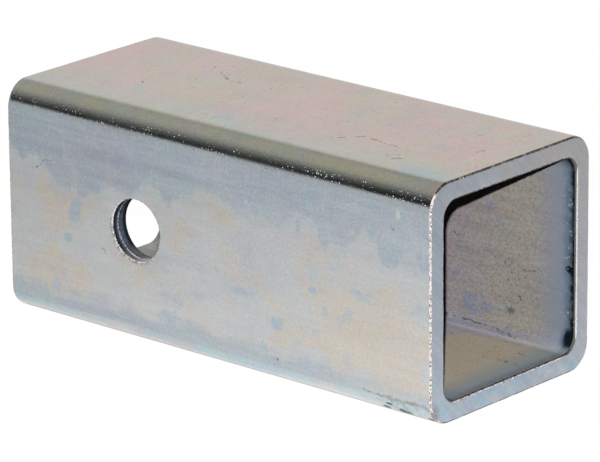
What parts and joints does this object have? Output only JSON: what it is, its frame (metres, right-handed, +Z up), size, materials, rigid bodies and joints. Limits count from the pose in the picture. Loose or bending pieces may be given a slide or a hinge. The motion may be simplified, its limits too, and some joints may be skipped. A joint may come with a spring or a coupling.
{
  "type": "hitch receiver adapter",
  "caption": "Square steel reducer sleeve for a tow hitch: it slides into a wider receiver tube and takes a narrower shank, with a cross hole through both side walls for the hitch pin.",
  "frame": {"origin": "where the pin hole's axis crosses the tube's axis", "axes": "+X along the pin hole, +Y along the tube towards the end that goes into the receiver, so the mouth is at -Y, and +Z up"},
  "size_m": [0.0636, 0.146, 0.0636],
  "materials": {
    "zinc_plate": "zinc plating with a thin iridescent passivation film, satin, over rolled tube with sanded sawn ends"
  },
  "bodies": {
    "root": {"reducer_sleeve": "zinc_plate"}
  },
  "joints": []
}
